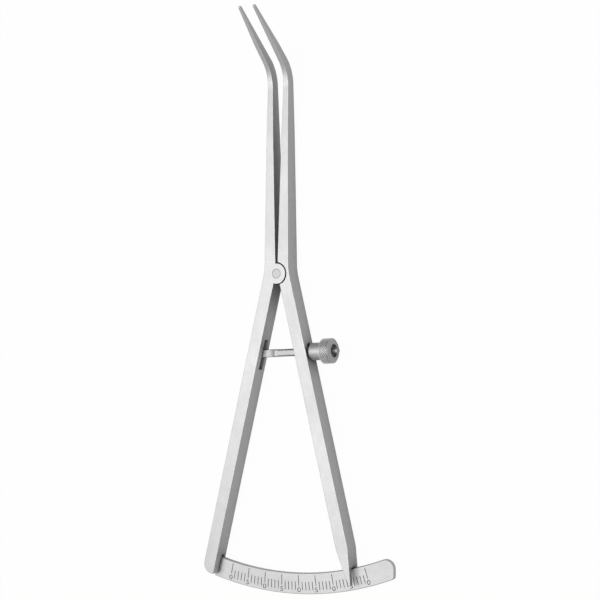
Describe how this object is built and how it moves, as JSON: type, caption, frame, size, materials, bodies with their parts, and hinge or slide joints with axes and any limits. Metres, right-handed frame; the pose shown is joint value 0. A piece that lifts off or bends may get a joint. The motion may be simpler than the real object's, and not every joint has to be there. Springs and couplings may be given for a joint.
{
  "type": "surgical caliper",
  "caption": "Surgical caliper with bent measuring tips, a curved graduated scale across the legs, and a knurled thumb nut on a link rod that limits them.",
  "frame": {"origin": "on the pivot's axis, in the plane of the legs' back faces", "axes": "+Z out of the face that carries the scale's lines, +Y from the pivot to the tips, +X to the right seen from the front; the tool lies on its back"},
  "size_m": [0.065, 0.1788, 0.0245],
  "materials": {
    "leg_steel": "satin",
    "scale_steel": "satin",
    "rod_steel": "turned",
    "nut_steel": "turned and knurled"
  },
  "bodies": {
    "left_side": {"left_leg": "leg_steel", "pivot_pin": "leg_steel", "scale_arc": "scale_steel", "scale_pins": "rod_steel", "link_pin": "rod_steel"},
    "right_side": {"right_leg": "leg_steel"},
    "link": {"link_rod": "rod_steel"},
    "nut": {"thumb_nut": "nut_steel"}
  },
  "joints": [
    {"name": "leg_swing", "type": "hinge", "parent": "left_side", "child": "right_side", "pos_m": [0, 0, 0.00282], "axis": [0, 0, -1], "range_deg": [-2.93, 26.01]},
    {"name": "link_swing", "type": "hinge", "parent": "left_side", "child": "link", "pos_m": [-0.00847, -0.02501, 0.00252], "axis": [0, 0, -1], "range_deg": [-0.95, 8.1]},
    {"name": "nut_travel", "type": "slide", "parent": "link", "child": "nut", "axis": [0.9986, 0.0522, 0], "range_m": [-0.01176, 0.00134]}
  ],
  "couplings": [
    {"joint": "link_swing", "follows": "leg_swing", "ratio": 0.31},
    {"joint": "nut_travel", "follows": "leg_swing", "m_per_rad": -0.025869}
  ]
}
